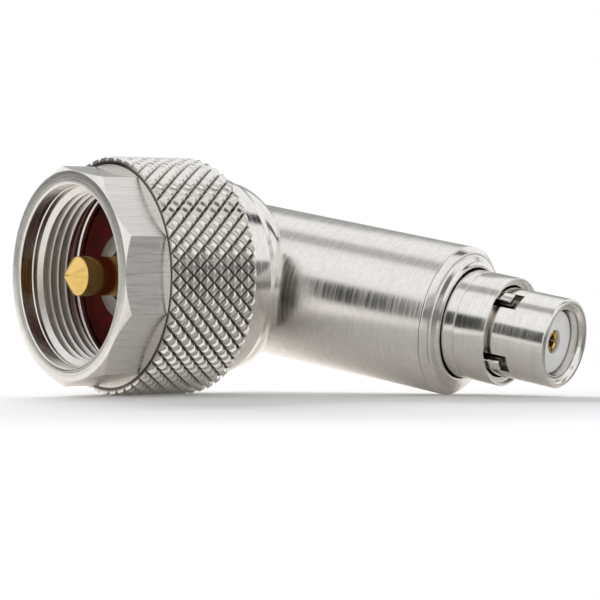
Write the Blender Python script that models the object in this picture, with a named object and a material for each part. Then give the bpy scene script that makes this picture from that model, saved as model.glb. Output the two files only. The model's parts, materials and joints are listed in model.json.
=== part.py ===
"""Elbow coax adapter: a threaded plug with a free-spinning coupling nut on one arm,
and a small socket with a spring-returned release collar on the other.

Units are metres, +Z is up. The adapter lies as it comes to rest: on the nut's knurl
and on the lower edge of the barrel's end ring. Both arms are turned shapes. Along each
arm a station is the distance from the elbow's centre, measured outwards.
"""

import bmesh
import bpy
from math import asin, atan2, cos, hypot, pi, radians, sin
from mathutils import Matrix, Vector

MM = 0.001

# Elbow: the angle between the two outward arms, and how far each arm reaches
ARM_ANGLE = radians(110)
PLUG_REACH = 36.8 * MM
BARREL_END = 40.2 * MM
SOCKET_LENGTH = 19.8 * MM
SOCKET_REACH = BARREL_END + SOCKET_LENGTH
STUB_END = -12.5 * MM

# Fits between neighbours
GAP = 0.3 * MM
SEAM = 0.3 * MM

# Nut's retaining ring, split, half in the nut and half in the body
RING_WIDTH = 1.4 * MM
RING_INNER_R = 13.5 * MM
RING_OUTER_R = 15.4 * MM
RING_SPLIT = radians(20)

# Coupling nut: its wall stands over the ring's groove, and the flats are milled from it
NUT_LENGTH = 23.6 * MM
NUT_WALL = 4.0 * MM
KNURL_R = RING_OUTER_R + NUT_WALL
FLAT_COUNT = 9
FLAT_CORNER_DROP = 1.3 * MM
FLAT_CORNER_R = KNURL_R - FLAT_CORNER_DROP
FACE_CHAMFER = 1.1 * MM
NUT_FACE_R = FLAT_CORNER_R - FACE_CHAMFER
FLAT_LENGTH = 7.7 * MM
KNURL_DEPTH = 0.85 * MM
KNURL_COUNT = 50
KNURL_ROWS = 12
KNURL_CHAMFER = 0.6 * MM
MOUTH_R = 14.75 * MM
MOUTH_CHAMFER = 0.2 * MM
MOUTH_DEPTH = 2.9 * MM
THREAD_MINOR_R = 13.7 * MM
THREAD_END = 10.4 * MM
NUT_BORE_R = 14.6 * MM
RING_REAR_WALL = 2.9 * MM
RING_DEPTH = NUT_LENGTH - RING_REAR_WALL - RING_WIDTH

# Seal ring between the nut and the body
SEAL_WIDTH = 1.6 * MM
SEAL_INNER_R = 12.9 * MM
SEAL_REAR_WALL = 2.1 * MM
SEAL_DEPTH = RING_DEPTH - SEAL_REAR_WALL - SEAL_WIDTH

# Body on the plug's side: nose inside the nut, collar behind it, domed shoulder
NOSE_WALL = 2.3 * MM
NOSE_DEPTH = SEAL_DEPTH - NOSE_WALL
COLLAR_R = 16.4 * MM
COLLAR_END = 28.5 * MM
COLLAR_CHAMFER = 1.3 * MM
DOME_R = 15.7 * MM
DOME_LENGTH = 8.6 * MM
DOME_STEPS = 8
DOME_FLAT_R = 6.0 * MM

# Plug contacts
CONTACT_TUBE_R = 7.2 * MM
CONTACT_TUBE_BORE_R = 4.3 * MM
CONTACT_TUBE_FRONT = 10.4 * MM
CONTACT_TUBE_REAR = 22.0 * MM
GASKET_THICK = 1.0 * MM
PIN_R = 3.2 * MM
PIN_TIP_DEPTH = -0.4 * MM
PIN_CONE_DEPTH = 1.7 * MM
PIN_SHOULDER = 10.5 * MM
PIN_SHANK_R = 2.2 * MM
LINE_BORE_R = 6.0 * MM

# Conductor joint in the elbow
BLOCK_R = 2.9 * MM
BLOCK_LENGTH = 7.0 * MM
SCREW_HEAD_R = 2.3 * MM
SCREW_HEAD_HEIGHT = 1.4 * MM
SCREW_SLOT = 0.6 * MM
CAP_R = 6.9 * MM
CAP_THICK = 2.2 * MM
CAP_SEAT = -10.6 * MM
STUB_CHAMFER = 0.6 * MM

# Barrel and the end ring that is screwed into it
BARREL_R = 12.1 * MM
COUNTERBORE_R = 11.1 * MM
COUNTERBORE_DEPTH = 5.6 * MM
END_RING_CHAMFER = 0.85 * MM
END_RING_FACE_R = 9.9 * MM
END_RING_FACE_RISE = 0.5 * MM
END_RING_LIP_RISE = 0.6 * MM
END_RING_SPIGOT = 2.0 * MM

# Line through the barrel
CONDUCTOR_R = 2.5 * MM
CONDUCTOR_STAND = 1.5 * MM
CONDUCTOR_END = BARREL_END + CONDUCTOR_STAND
BEAD_STATION = 20.0 * MM
BEAD_LENGTH = 3.0 * MM

# Socket shell with its key windows
SHELL_R = 7.15 * MM
SHELL_FLANGE = 1.5 * MM
SHELL_BORE_R = 5.3 * MM
SHELL_MOUTH_R = 6.1 * MM
SHELL_RIM_CHAMFER = 0.25 * MM
SHELL_STEP = 0.9 * MM
SEAL_WASHER_THICK = 1.0 * MM

# Release collar with keys that run in the windows
RELEASE_R = 8.75 * MM
RELEASE_REAR_SETOFF = 0.8 * MM
RELEASE_LENGTH = 9.1 * MM
RELEASE_START = BARREL_END + RELEASE_REAR_SETOFF
RELEASE_END = RELEASE_START + RELEASE_LENGTH
RELEASE_LIP = 0.4 * MM
RELEASE_RECESS = 0.8 * MM
RELEASE_LINE_SETOFF = 3.4 * MM
RELEASE_LINE = RELEASE_START + RELEASE_LINE_SETOFF
RELEASE_LINE_WIDTH = 0.2 * MM

# Windows in the shell, which start under the collar's lip, and the keys in them
KEY_COUNT = 4
KEY_PHASE = radians(40)
WINDOW_UNDER_LIP = 2.4 * MM
WINDOW_LENGTH = 5.6 * MM
WINDOW_START = RELEASE_END - WINDOW_UNDER_LIP
WINDOW_END = WINDOW_START + WINDOW_LENGTH
WINDOW_WIDTH = 3.3 * MM
WINDOW_FLOOR_R = 6.3 * MM
KEY_SETOFF = 1.1 * MM
KEY_LENGTH = 3.4 * MM
KEY_START = WINDOW_START + KEY_SETOFF
KEY_END = KEY_START + KEY_LENGTH
KEY_WIDTH = 1.6 * MM
KEY_TOP_R = 7.85 * MM
SPRING_LENGTH = 1.3 * MM
SPRING_STEEL = 0.35 * MM
SPRING_WAVES = 3

# Socket contact and insulators
INSULATOR_RECESS = 2.0 * MM
INSULATOR_LENGTH = 11.9 * MM
INSULATOR_FRONT = SOCKET_REACH - INSULATOR_RECESS
INSULATOR_REAR = INSULATOR_FRONT - INSULATOR_LENGTH
CONTACT_R = 1.6 * MM
CONTACT_RECESS = 0.3 * MM
CONTACT_FRONT = INSULATOR_FRONT - CONTACT_RECESS
CONTACT_BORE_R = 0.95 * MM
CONTACT_BORE_DEPTH = 6.0 * MM
CONTACT_SLOT = 0.35 * MM
CONTACT_SLOT_DEPTH = 3.5 * MM
REAR_BEAD_LENGTH = 2.5 * MM

# Facets round each turned piece
ROUND = 64
SMALL_ROUND = 32

NICKEL = ("nickel_plate", (0.66, 0.64, 0.60), 0.28, 1.0)
SATIN = ("satin_nickel", (0.62, 0.60, 0.57), 0.38, 1.0)
GOLD = ("gold_plate", (0.83, 0.56, 0.19), 0.2, 1.0)
SEAL_RED = ("red_rubber", (0.10, 0.012, 0.01), 0.6, 0.0)
SEAL_BLACK = ("black_rubber", (0.02, 0.02, 0.02), 0.6, 0.0)
WHITE = ("white_insulator", (0.85, 0.85, 0.83), 0.45, 0.0)
SPRING = ("spring_steel", (0.5, 0.5, 0.5), 0.3, 1.0)


def clear_scene():
    for thing in list(bpy.data.objects):
        bpy.data.objects.remove(thing, do_unlink=True)


def material(finish):
    name, colour, roughness, metallic = finish
    found = bpy.data.materials.get(name)
    if found:
        return found
    made = bpy.data.materials.new(name)
    made.use_nodes = True
    shader = made.node_tree.nodes["Principled BSDF"]
    shader.inputs["Base Color"].default_value = (*colour, 1)
    shader.inputs["Roughness"].default_value = roughness
    shader.inputs["Metallic"].default_value = metallic
    return made


def frame_empty(name, parent=None, matrix=None):
    empty = bpy.data.objects.new(name, None)
    bpy.context.scene.collection.objects.link(empty)
    empty.parent = parent
    if matrix is not None:
        empty.matrix_local = matrix
    return empty


def add_object(name, bm, parent, finish):
    """Close the bmesh into a smooth-shaded object on one of the arms."""
    bmesh.ops.recalc_face_normals(bm, faces=bm.faces)
    mesh = bpy.data.meshes.new(name)
    bm.to_mesh(mesh)
    bm.free()
    mesh.shade_smooth()
    mesh.set_sharp_from_angle(angle=radians(32))
    thing = bpy.data.objects.new(name, mesh)
    bpy.context.scene.collection.objects.link(thing)
    thing.parent = parent
    if finish:
        mesh.materials.append(material(finish))
    return thing


def spun(profile, steps, angle=2 * pi):
    """Turn a closed outline of (radius, station) points about the arm's axis."""
    bm = bmesh.new()
    points = [bm.verts.new((radius, 0, station)) for radius, station in profile]
    loop = points + points[:1]
    edges = [bm.edges.new(pair) for pair in zip(loop, loop[1:])]
    whole = angle > 6.28
    bmesh.ops.spin(bm, geom=points + edges, cent=(0, 0, 0), axis=(0, 0, 1),
                   angle=angle, steps=steps, use_merge=whole)
    if whole:
        bmesh.ops.remove_doubles(bm, verts=bm.verts, dist=1e-7)
        axis_edges = [e for e in bm.edges if not e.link_faces]
        bmesh.ops.delete(bm, geom=axis_edges, context="EDGES")
    else:
        bmesh.ops.holes_fill(bm, edges=[e for e in bm.edges if e.is_boundary])
    return bm


def turned(name, profile, parent, finish=None, steps=ROUND):
    return add_object(name, spun(profile, steps), parent, finish)


def tube(inner, outer, start, end):
    return [(inner, start), (inner, end), (outer, end), (outer, start)]


def disc(radius, start, end):
    return [(0, start), (0, end), (radius, end), (radius, start)]


def box(name, size, centre, parent, turn=0.0):
    """A cutter or key block, its radial side along X, turned about the arm."""
    bm = bmesh.new()
    bmesh.ops.create_cube(bm, size=1)
    bmesh.ops.scale(bm, vec=size, verts=bm.verts)
    bmesh.ops.translate(bm, vec=centre, verts=bm.verts)
    bmesh.ops.rotate(bm, matrix=Matrix.Rotation(turn, 3, "Z"), verts=bm.verts)
    return add_object(name, bm, parent, None)


def combine(thing, tool, operation):
    """Boolean a hidden helper shape into, or out of, an object."""
    tool.hide_render = True
    tool.display_type = "WIRE"
    step = thing.modifiers.new(operation.lower() + "_" + tool.name, "BOOLEAN")
    step.operation = operation
    step.solver = "EXACT"
    step.object = tool


def at_depth(depth):
    """Station of a depth behind the plug's front plane."""
    return PLUG_REACH - depth


def knurl_bounds():
    """Stations of the knurl's front and rear edge."""
    front = at_depth(FLAT_LENGTH + KNURL_CHAMFER)
    rear = at_depth(NUT_LENGTH - KNURL_CHAMFER)
    return front, rear


def cut_knurl(bm):
    """Raise a peak and sink a valley by turns, then crease along the valleys."""
    front, rear = knurl_bounds()
    row_height = (front - rear) / KNURL_ROWS
    half_pitch = pi / KNURL_COUNT
    valleys = set()
    for vert in bm.verts:
        if abs(vert.co.xy.length - KNURL_R) > 1e-6:
            continue
        row = round((front - vert.co.z) / row_height)
        column = round(atan2(vert.co.y, vert.co.x) / half_pitch)
        if (row + column) % 2:
            vert.co.xy *= (KNURL_R - KNURL_DEPTH) / KNURL_R
            valleys.add(vert)
    for face in list(bm.faces):
        low = [vert for vert in face.verts if vert in valleys]
        if len(low) == 2 and len(face.verts) == 4 and not bm.edges.get(low):
            bmesh.ops.connect_verts(bm, verts=low)


def coupling_nut(plug):
    """Nine flats in front, a diamond knurl behind them, and the threaded bore."""
    front, rear = knurl_bounds()
    rows = [(KNURL_R, front + (rear - front) * k / KNURL_ROWS) for k in range(KNURL_ROWS + 1)]
    shoulder_r = KNURL_R - KNURL_CHAMFER
    outside = [
        (NUT_FACE_R, at_depth(0)),
        (FLAT_CORNER_R, at_depth(FACE_CHAMFER)),
        (FLAT_CORNER_R, at_depth(FLAT_LENGTH)),
        (shoulder_r, at_depth(FLAT_LENGTH)),
        *rows,
        (shoulder_r, at_depth(NUT_LENGTH)),
    ]
    ring_front = RING_DEPTH - GAP
    ring_rear = RING_DEPTH + RING_WIDTH + GAP
    inside = [
        (NUT_BORE_R, at_depth(NUT_LENGTH)),
        (NUT_BORE_R, at_depth(ring_rear)),
        (RING_OUTER_R + GAP, at_depth(ring_rear)),
        (RING_OUTER_R + GAP, at_depth(ring_front)),
        (NUT_BORE_R, at_depth(ring_front)),
        (NUT_BORE_R, at_depth(THREAD_END)),
        (THREAD_MINOR_R, at_depth(THREAD_END)),
        (THREAD_MINOR_R, at_depth(MOUTH_DEPTH)),
        (MOUTH_R, at_depth(MOUTH_DEPTH)),
        (MOUTH_R, at_depth(MOUTH_CHAMFER)),
        (MOUTH_R + MOUTH_CHAMFER, at_depth(0)),
    ]
    bm = spun(outside + inside, 2 * KNURL_COUNT)
    cut_knurl(bm)
    nut = add_object("coupling_nut", bm, plug, NICKEL)
    flats = tube(FLAT_CORNER_R, FLAT_CORNER_R + KNURL_R, at_depth(FLAT_LENGTH), at_depth(-MM))
    cutter = turned("flats_cutter", flats, plug, steps=FLAT_COUNT)
    cutter.rotation_euler.z = pi / 2  # a corner points sideways
    combine(nut, cutter, "DIFFERENCE")


def nut_snap_ring(plug):
    """Split ring that holds the nut on the body and lets it spin."""
    outline = tube(RING_INNER_R, RING_OUTER_R, at_depth(RING_DEPTH + RING_WIDTH), at_depth(RING_DEPTH))
    bm = spun(outline, SMALL_ROUND, 2 * pi - RING_SPLIT)
    add_object("nut_snap_ring", bm, plug, SPRING)


def nut_seal_ring(plug):
    """Round seal in the body's groove, against the nut's bore."""
    outer = NUT_BORE_R - GAP
    middle = (outer + SEAL_INNER_R) / 2
    half_height = (outer - SEAL_INNER_R) / 2
    centre = at_depth(SEAL_DEPTH + SEAL_WIDTH / 2)
    outline = [(middle + half_height * cos(k * pi / 4), centre + SEAL_WIDTH / 2 * sin(k * pi / 4))
               for k in range(8)]
    turned("nut_seal_ring", outline, plug, SEAL_BLACK, SMALL_ROUND)


def plug_gasket(plug):
    """Flat seal on the nose, between the contact tube and the nut."""
    front = at_depth(NOSE_DEPTH - GAP - GASKET_THICK)
    rear = at_depth(NOSE_DEPTH - GAP)
    outline = tube(CONTACT_TUBE_R + GAP, NUT_BORE_R - GAP, rear, front)
    turned("plug_gasket", outline, plug, SEAL_RED, SMALL_ROUND + SMALL_ROUND // 2)


def plug_outer_contact(plug):
    """Outer contact pressed into the nose."""
    edge = GAP
    front = at_depth(CONTACT_TUBE_FRONT)
    rear = at_depth(CONTACT_TUBE_REAR)
    outline = [
        (CONTACT_TUBE_BORE_R, rear),
        (CONTACT_TUBE_BORE_R, front),
        (CONTACT_TUBE_R - edge, front),
        (CONTACT_TUBE_R, front - edge),
        (CONTACT_TUBE_R, rear),
    ]
    turned("plug_outer_contact", outline, plug, NICKEL, SMALL_ROUND)


def plug_insulator(plug):
    """Sleeve that centres the pin's shank in the outer contact."""
    outline = tube(PIN_SHANK_R + GAP, CONTACT_TUBE_BORE_R - GAP,
                   at_depth(CONTACT_TUBE_REAR), at_depth(PIN_SHOULDER + GAP))
    turned("plug_insulator", outline, plug, WHITE, SMALL_ROUND)


def block_stations():
    """Stations of the conductor block's front and rear face, centred on the elbow."""
    return BLOCK_LENGTH / 2, -BLOCK_LENGTH / 2


def plug_centre_pin(plug):
    """Gold pin with a cone point, and a thinner shank back to the block's side."""
    shank_end = (BLOCK_R + GAP - PIN_SHANK_R * cos(ARM_ANGLE)) / sin(ARM_ANGLE)
    cone = at_depth(PIN_CONE_DEPTH)
    tip = at_depth(PIN_TIP_DEPTH)
    edge = GAP / 2
    outline = [
        (0, shank_end),
        (0, tip),
        (PIN_R * 0.12, tip - edge / 2),
        (PIN_R - edge, cone),
        (PIN_R, cone - edge),
        (PIN_R, at_depth(PIN_SHOULDER)),
        (PIN_SHANK_R, at_depth(PIN_SHOULDER)),
        (PIN_SHANK_R, shank_end),
    ]
    turned("plug_centre_pin", outline, plug, GOLD, SMALL_ROUND)


def dome_outline():
    """Part of a quarter ellipse, from the collar's chamfer to a back inside the barrel."""
    start = at_depth(COLLAR_END + COLLAR_CHAMFER)
    last = asin(DOME_FLAT_R / DOME_R)
    swing = pi / 2 - last
    angles = [pi / 2 - swing * k / DOME_STEPS for k in range(1, DOME_STEPS + 1)]
    return [(DOME_R * sin(a), start - DOME_LENGTH * cos(a)) for a in angles]


def body_solid(plug):
    """Nose with its two grooves, collar, chamfer and domed shoulder, turned in one."""
    nose_r = NUT_BORE_R - GAP
    seal_floor = SEAL_INNER_R - GAP
    ring_floor = RING_INNER_R - GAP
    back = dome_outline()
    outline = [
        (0, back[-1][1]),
        (0, at_depth(NOSE_DEPTH)),
        (nose_r, at_depth(NOSE_DEPTH)),
        (nose_r, at_depth(SEAL_DEPTH - GAP)),
        (seal_floor, at_depth(SEAL_DEPTH - GAP)),
        (seal_floor, at_depth(SEAL_DEPTH + SEAL_WIDTH + GAP)),
        (nose_r, at_depth(SEAL_DEPTH + SEAL_WIDTH + GAP)),
        (nose_r, at_depth(RING_DEPTH - GAP)),
        (ring_floor, at_depth(RING_DEPTH - GAP)),
        (ring_floor, at_depth(RING_DEPTH + RING_WIDTH + GAP)),
        (nose_r, at_depth(RING_DEPTH + RING_WIDTH + GAP)),
        (nose_r, at_depth(NUT_LENGTH + GAP)),
        (COLLAR_R, at_depth(NUT_LENGTH + GAP)),
        (COLLAR_R, at_depth(COLLAR_END)),
        (DOME_R, at_depth(COLLAR_END + COLLAR_CHAMFER)),
        *back,
    ]
    return turned("elbow_body", outline, plug, SATIN)


def barrel_solid(socket):
    """Barrel crossing the turned plug side, with a short chamfered stub behind it."""
    outline = [
        (0, STUB_END),
        (0, BARREL_END),
        (BARREL_R, BARREL_END),
        (BARREL_R, STUB_END + STUB_CHAMFER),
        (BARREL_R - STUB_CHAMFER, STUB_END),
    ]
    return turned("barrel_shape", outline, socket)


def elbow_body(plug, socket):
    """The body: turned plug side and barrel in one, bored along both arms."""
    body = body_solid(plug)
    combine(body, barrel_solid(socket), "UNION")
    tube_seat = CONTACT_TUBE_R + GAP
    plug_bore = [
        (0, 0),
        (0, at_depth(0)),
        (tube_seat, at_depth(0)),
        (tube_seat, at_depth(CONTACT_TUBE_REAR + GAP)),
        (LINE_BORE_R - GAP / 2, at_depth(CONTACT_TUBE_REAR + GAP)),
        (LINE_BORE_R - GAP / 2, 0),
    ]
    combine(body, turned("plug_bore", plug_bore, plug, steps=SMALL_ROUND), "DIFFERENCE")
    floor = BARREL_END - COUNTERBORE_DEPTH
    barrel_bore = [
        (0, STUB_END - MM),
        (0, BARREL_END + MM),
        (COUNTERBORE_R, BARREL_END + MM),
        (COUNTERBORE_R, floor),
        (LINE_BORE_R, floor),
        (LINE_BORE_R, CAP_SEAT),
        (CAP_R + GAP, CAP_SEAT),
        (CAP_R + GAP, STUB_END - MM),
    ]
    combine(body, turned("barrel_bore", barrel_bore, socket, steps=SMALL_ROUND), "DIFFERENCE")


def elbow_access_cap(socket):
    """Cap pressed into the stub's end once the conductors are joined."""
    top = CAP_SEAT - GAP
    back = top - CAP_THICK
    edge = GAP
    outline = [(0, top), (CAP_R, top), (CAP_R, back + edge), (CAP_R - edge, back), (0, back)]
    turned("elbow_access_cap", outline, socket, SATIN, SMALL_ROUND)


def elbow_conductor_block(socket):
    """Block that joins the pin to the barrel's conductor."""
    front, rear = block_stations()
    turned("elbow_conductor_block", disc(BLOCK_R, rear, front), socket, GOLD, SMALL_ROUND)


def conductor_screw(socket):
    """Slotted screw behind the block, reached through the cap's hole."""
    top = block_stations()[1] - GAP
    back = top - SCREW_HEAD_HEIGHT
    screw = turned("conductor_screw", disc(SCREW_HEAD_R, back, top), socket, GOLD, SMALL_ROUND)
    size = (3 * SCREW_HEAD_R, SCREW_SLOT, SCREW_HEAD_HEIGHT)
    slot = box("screw_slot", size, (0, 0, back), socket)
    combine(screw, slot, "DIFFERENCE")


def barrel_inner_conductor(socket):
    outline = disc(CONDUCTOR_R, block_stations()[0] + GAP, CONDUCTOR_END)
    turned("barrel_inner_conductor", outline, socket, GOLD, SMALL_ROUND)


def barrel_support_bead(socket):
    """White bead that centres the conductor in the barrel's bore."""
    outline = tube(CONDUCTOR_R + GAP, LINE_BORE_R - GAP, BEAD_STATION, BEAD_STATION + BEAD_LENGTH)
    turned("barrel_support_bead", outline, socket, WHITE, SMALL_ROUND)


def barrel_end_ring(socket):
    """Ring screwed into the barrel: chamfer, sloping face, and a lip round the collar."""
    rear = BARREL_END + SEAM
    edge = rear + END_RING_CHAMFER
    face = edge + END_RING_FACE_RISE
    mouth = RELEASE_R + GAP
    outline = [
        (mouth, BARREL_END - END_RING_SPIGOT),
        (mouth, face + END_RING_LIP_RISE),
        (END_RING_FACE_R, face),
        (BARREL_R - END_RING_CHAMFER, edge),
        (BARREL_R, rear),
        (COUNTERBORE_R - GAP, rear),
        (COUNTERBORE_R - GAP, BARREL_END - END_RING_SPIGOT),
    ]
    turned("barrel_end_ring", outline, socket, NICKEL)


def flange_bounds():
    """Stations of the shell's flange, clamped between its washer and the end ring."""
    front = BARREL_END - END_RING_SPIGOT - GAP
    return front - SHELL_FLANGE, front


def shell_seal_washer(socket):
    """Flat seal between the barrel's shoulder and the shell's flange."""
    front = flange_bounds()[0] - GAP
    outline = tube(SHELL_R + GAP, COUNTERBORE_R - GAP, front - SEAL_WASHER_THICK, front)
    turned("shell_seal_washer", outline, socket, SEAL_BLACK, SMALL_ROUND)


def key_turns():
    return [KEY_PHASE + 2 * pi * k / KEY_COUNT for k in range(KEY_COUNT)]


def socket_shell(socket):
    """Outer contact of the socket: flange inside, long nose, four key windows."""
    rear = BARREL_END - COUNTERBORE_DEPTH + GAP
    flange_rear, flange_front = flange_bounds()
    chamfer = SHELL_RIM_CHAMFER
    outline = [
        (SHELL_BORE_R, rear),
        (SHELL_BORE_R, SOCKET_REACH - SHELL_STEP),
        (SHELL_MOUTH_R - chamfer, SOCKET_REACH - SHELL_STEP),
        (SHELL_MOUTH_R, SOCKET_REACH - chamfer),
        (SHELL_MOUTH_R + chamfer, SOCKET_REACH),
        (SHELL_R - chamfer, SOCKET_REACH),
        (SHELL_R, SOCKET_REACH - chamfer),
        (SHELL_R, flange_front),
        (COUNTERBORE_R - GAP, flange_front),
        (COUNTERBORE_R - GAP, flange_rear),
        (SHELL_R, flange_rear),
        (SHELL_R, rear),
    ]
    shell = turned("socket_shell", outline, socket, NICKEL)
    height = RELEASE_R - WINDOW_FLOOR_R
    size = (height, WINDOW_WIDTH, WINDOW_END - WINDOW_START)
    centre = (WINDOW_FLOOR_R + height / 2, 0, (WINDOW_START + WINDOW_END) / 2)
    for index, turn in enumerate(key_turns()):
        window = box("window_cutter_%d" % index, size, centre, socket, turn)
        combine(shell, window, "DIFFERENCE")


def release_collar(socket):
    """Sliding collar: turned line, bright front lip, recess, and four keys."""
    bore = SHELL_R + GAP
    line = RELEASE_LINE_WIDTH
    lip = RELEASE_LIP
    outline = [
        (bore, RELEASE_START),
        (bore, RELEASE_END - RELEASE_RECESS),
        (RELEASE_R - lip, RELEASE_END - RELEASE_RECESS),
        (RELEASE_R - lip, RELEASE_END),
        (RELEASE_R - lip / 2, RELEASE_END),
        (RELEASE_R, RELEASE_END - lip / 2),
        (RELEASE_R, RELEASE_LINE + line),
        (RELEASE_R - line, RELEASE_LINE + line / 2),
        (RELEASE_R, RELEASE_LINE),
        (RELEASE_R, RELEASE_START),
    ]
    collar = turned("release_collar", outline, socket, NICKEL)
    floor = WINDOW_FLOOR_R + GAP
    size = (KEY_TOP_R - floor, KEY_WIDTH, KEY_END - KEY_START)
    centre = ((KEY_TOP_R + floor) / 2, 0, (KEY_START + KEY_END) / 2)
    for index, turn in enumerate(key_turns()):
        combine(collar, box("key_block_%d" % index, size, centre, socket, turn), "UNION")


def collar_return_spring(socket):
    """Wave washer on the shell's flange that pushes the collar forward again."""
    rear = flange_bounds()[1] + GAP
    sway = (SPRING_LENGTH - SPRING_STEEL) / 2
    middle = rear + SPRING_LENGTH / 2
    outline = tube(SHELL_R + GAP, RELEASE_R, middle - SPRING_STEEL / 2, middle + SPRING_STEEL / 2)
    bm = spun(outline, SMALL_ROUND)
    for vert in bm.verts:
        vert.co.z += sway * sin(SPRING_WAVES * atan2(vert.co.y, vert.co.x))
    add_object("collar_return_spring", bm, socket, SPRING)


def socket_insulator(socket):
    """White insulator with the contact's hole in its face."""
    outline = tube(CONTACT_R + GAP, SHELL_BORE_R - GAP, INSULATOR_REAR, INSULATOR_FRONT)
    turned("socket_insulator", outline, socket, WHITE, SMALL_ROUND)


def socket_rear_bead(socket):
    """Bead at the shell's rear, round the end of the barrel's conductor."""
    rear = BARREL_END - COUNTERBORE_DEPTH + GAP
    outline = tube(CONDUCTOR_R + GAP, SHELL_BORE_R - GAP, rear, rear + REAR_BEAD_LENGTH)
    turned("socket_rear_bead", outline, socket, WHITE, SMALL_ROUND)


def socket_centre_contact(socket):
    """Gold female contact: bored front, four spring fingers, solid rear."""
    hole = CONTACT_FRONT - CONTACT_BORE_DEPTH
    edge = CONTACT_SLOT / 2
    outline = [
        (0, CONDUCTOR_END + GAP),
        (0, hole),
        (CONTACT_BORE_R, hole),
        (CONTACT_BORE_R, CONTACT_FRONT - edge),
        (CONTACT_BORE_R + edge, CONTACT_FRONT),
        (CONTACT_R - edge, CONTACT_FRONT),
        (CONTACT_R, CONTACT_FRONT - edge),
        (CONTACT_R, CONDUCTOR_END + GAP),
    ]
    contact = turned("socket_centre_contact", outline, socket, GOLD, SMALL_ROUND)
    size = (3 * CONTACT_R, CONTACT_SLOT, CONTACT_SLOT_DEPTH)
    for index in range(2):
        centre = (0, 0, CONTACT_FRONT - CONTACT_SLOT_DEPTH / 2 + MM / 10)
        slot = box("contact_slot_%d" % index, size, centre, socket, index * pi / 2)
        combine(contact, slot, "DIFFERENCE")


def resting_arms():
    """Empties for both arms, turned so that nut and end ring both touch the floor."""
    root = frame_empty("adapter")
    edge_station = SEAM + BARREL_END
    droop = asin(KNURL_R / hypot(edge_station, BARREL_R)) - atan2(BARREL_R, edge_station)
    side = sin(droop) / sin(ARM_ANGLE)
    plug_way = Vector((-1, 0, 0))
    socket_way = Vector((-cos(ARM_ANGLE), -sin(ARM_ANGLE) * (1 - side * side) ** 0.5, -sin(droop)))
    arms = []
    for name, way in (("plug_axis", plug_way), ("socket_axis", socket_way)):
        across = way.cross(Vector((0, 0, 1))).normalized()
        upward = across.cross(way)
        turn = Matrix((upward, across, way)).transposed().to_4x4()
        arms.append(frame_empty(name, root, Matrix.Translation((0, 0, KNURL_R)) @ turn))
    return root, arms


def centre_on_floor(root):
    """Move the adapter so that the middle of its box stands over the origin."""
    bpy.context.view_layer.update()
    graph = bpy.context.evaluated_depsgraph_get()
    corners = []
    for thing in bpy.data.objects:
        if thing.type == "MESH" and not thing.hide_render:
            shape = thing.evaluated_get(graph)
            mesh = shape.to_mesh()
            corners += [shape.matrix_world @ vert.co for vert in mesh.vertices]
            shape.to_mesh_clear()
    low = Vector(min(c[i] for c in corners) for i in range(3))
    high = Vector(max(c[i] for c in corners) for i in range(3))
    root.location = (-(low.x + high.x) / 2, -(low.y + high.y) / 2, -low.z)


def build():
    clear_scene()
    root, (plug, socket) = resting_arms()
    coupling_nut(plug)
    nut_snap_ring(plug)
    nut_seal_ring(plug)
    plug_gasket(plug)
    plug_outer_contact(plug)
    plug_insulator(plug)
    plug_centre_pin(plug)
    elbow_body(plug, socket)
    elbow_access_cap(socket)
    elbow_conductor_block(socket)
    conductor_screw(socket)
    barrel_inner_conductor(socket)
    barrel_support_bead(socket)
    barrel_end_ring(socket)
    shell_seal_washer(socket)
    socket_shell(socket)
    release_collar(socket)
    collar_return_spring(socket)
    socket_insulator(socket)
    socket_rear_bead(socket)
    socket_centre_contact(socket)
    centre_on_floor(root)


build()
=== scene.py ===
# %% [markdown]
# # An elbow coax adapter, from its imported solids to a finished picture
# The adapter is a small machined fitting: a big threaded plug with a knurled nut on one arm,
# and a small snap-in socket on the other. Nearly all of it is turned on a lathe, so most
# cells below draw half an outline and spin it. The knurl and the thread repeat, so Geometry
# Nodes make them.

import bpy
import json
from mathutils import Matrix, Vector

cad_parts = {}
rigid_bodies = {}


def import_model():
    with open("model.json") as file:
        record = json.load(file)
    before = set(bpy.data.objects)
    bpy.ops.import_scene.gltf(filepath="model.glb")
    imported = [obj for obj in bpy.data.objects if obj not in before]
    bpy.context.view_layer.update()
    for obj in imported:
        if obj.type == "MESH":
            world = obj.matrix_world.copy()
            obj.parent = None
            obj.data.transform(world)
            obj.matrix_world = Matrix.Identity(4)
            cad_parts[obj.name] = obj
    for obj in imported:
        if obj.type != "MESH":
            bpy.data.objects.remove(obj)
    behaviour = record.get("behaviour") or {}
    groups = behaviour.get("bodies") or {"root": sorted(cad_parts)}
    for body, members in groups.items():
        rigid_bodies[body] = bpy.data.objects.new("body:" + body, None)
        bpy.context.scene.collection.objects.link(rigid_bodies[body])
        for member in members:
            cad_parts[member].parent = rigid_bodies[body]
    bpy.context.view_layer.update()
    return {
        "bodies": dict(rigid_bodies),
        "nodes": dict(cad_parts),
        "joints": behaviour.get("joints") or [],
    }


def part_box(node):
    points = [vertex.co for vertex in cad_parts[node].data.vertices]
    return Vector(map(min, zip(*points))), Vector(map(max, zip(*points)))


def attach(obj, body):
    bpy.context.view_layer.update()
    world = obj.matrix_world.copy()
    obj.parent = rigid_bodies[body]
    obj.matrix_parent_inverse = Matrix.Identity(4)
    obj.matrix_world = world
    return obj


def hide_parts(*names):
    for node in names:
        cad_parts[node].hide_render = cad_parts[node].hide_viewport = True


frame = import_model()

import json
from math import cos, pi, radians, sin

import bmesh
import bpy
from mathutils import Matrix, Vector

print("bodies:", ", ".join(sorted(frame["bodies"])))

# %% [markdown]
# ## Two arms that cross in the elbow
# Every turned piece is easiest to describe by stations along its own arm, measured outwards
# from the elbow's centre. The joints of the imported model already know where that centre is
# and which way both arms point, so nothing has to be measured again.

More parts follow.
